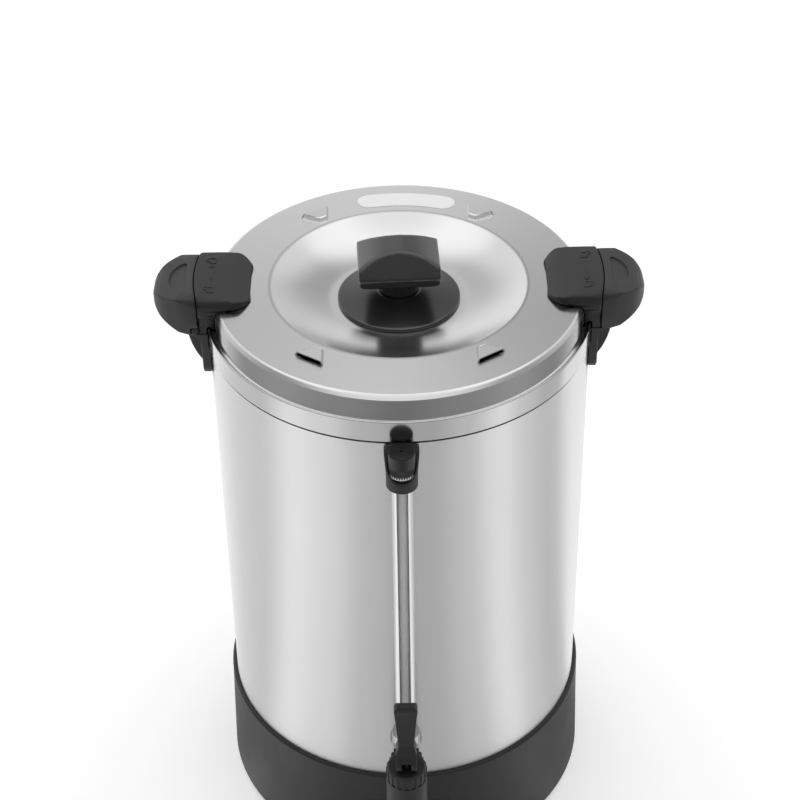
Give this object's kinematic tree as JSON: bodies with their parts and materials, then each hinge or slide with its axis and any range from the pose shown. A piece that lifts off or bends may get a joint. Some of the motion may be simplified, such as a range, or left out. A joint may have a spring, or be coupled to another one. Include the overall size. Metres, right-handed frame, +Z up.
{
  "type": "hot water urn",
  "caption": "Insulated steel hot water urn with a twist-lock lid, side handles, a front sight gauge and a lever tap over a heated base.",
  "frame": {"origin": "on the vertical axis of the tank, in the plane that the rubber feet stand on", "axes": "+Z up along the tank's axis, -Y towards the sight gauge and the tap, +X to the right handle"},
  "size_m": [0.3518, 0.3505, 0.497],
  "materials": {
    "shell_steel": "brushed",
    "bright_steel": "polished",
    "fastener_steel": "satin",
    "black_plastic": "fine grain",
    "black_rubber": "matte",
    "silicone": "satin",
    "clear_tube": "clear",
    "heater_metal": "cast",
    "phenolic": "moulded",
    "pale_plastic": "moulded",
    "blade_brass": "plated",
    "red_lens": "translucent",
    "green_lens": "translucent"
  },
  "bodies": {
    "urn": {"inner_tank": "bright_steel", "outer_shell": "shell_steel", "base_housing": "black_plastic", "base_plate": "fastener_steel", "rubber_feet": "black_rubber", "base_screws": "fastener_steel", "foot_screws": "fastener_steel", "heat_shield": "bright_steel", "main_heater": "heater_metal", "keep_warm_heater": "heater_metal", "heater_clamp": "fastener_steel", "tank_nut": "fastener_steel", "thermostat": "phenolic", "thermal_cutout": "phenolic", "terminal_block": "pale_plastic", "rocker_frame": "black_plastic", "lamp_heating": "red_lens", "lamp_ready": "green_lens", "power_inlet": "black_plastic", "inlet_blades": "blade_brass", "inlet_screws": "fastener_steel", "handle_left": "black_plastic", "handle_right": "black_plastic", "handle_screws": "fastener_steel", "handle_backing_plates": "bright_steel", "gauge_bracket": "black_plastic", "bracket_screw": "fastener_steel", "gauge_plug_seal": "black_rubber", "gauge_tube": "clear_tube", "gauge_guard": "bright_steel", "gauge_lower_seal": "black_rubber", "tap_shank": "fastener_steel", "shank_outer_washer": "silicone", "shank_spacer": "fastener_steel", "shank_inner_washer": "silicone", "shank_nut": "fastener_steel", "tap_collar_nut": "black_plastic", "tap_body": "black_plastic", "tap_bonnet": "black_plastic", "tap_spring": "fastener_steel"},
    "lid": {"lid_disc": "shell_steel", "ear_left": "black_plastic", "ear_right": "black_plastic", "ear_screws": "fastener_steel", "knob_disc": "black_plastic", "knob_grip": "black_plastic", "knob_screw": "fastener_steel"},
    "plug": {"gauge_plug": "black_plastic"},
    "valve": {"tap_stem": "fastener_steel", "tap_seat_cup": "silicone"},
    "lever": {"tap_lever": "black_plastic", "lever_pin": "fastener_steel"},
    "rocker": {"rocker_button": "black_plastic"}
  },
  "joints": [
    {"name": "lid_turn", "type": "hinge", "parent": "urn", "child": "lid", "pos_m": [0, 0, 0.4645], "axis": [0, 0, 1], "range_deg": [0, 25]},
    {"name": "gauge_plug_turn", "type": "hinge", "parent": "urn", "child": "plug", "pos_m": [0, -0.1495, 0.4295], "axis": [0, 0, 1], "range_deg": [0, 90]},
    {"name": "tap_stem_lift", "type": "slide", "parent": "urn", "child": "valve", "axis": [0, 0, 1], "range_m": [0, 0.0045], "deforming": ["tap_spring"]},
    {"name": "tap_lever_tilt", "type": "hinge", "parent": "valve", "child": "lever", "pos_m": [0, -0.1915, 0.174], "axis": [1, 0, 0], "range_deg": [0, 90], "stiffness_Nm_per_rad": 0.0033, "springref_deg": -119.75},
    {"name": "rocker_tilt", "type": "hinge", "parent": "urn", "child": "rocker", "pos_m": [0, -0.13691, 0.051], "axis": [-1, 0, 0], "range_deg": [0, 24]}
  ],
  "couplings": [
    {"joint": "tap_stem_lift", "follows": "tap_lever_tilt", "m_per_rad": 0.0028648}
  ]
}
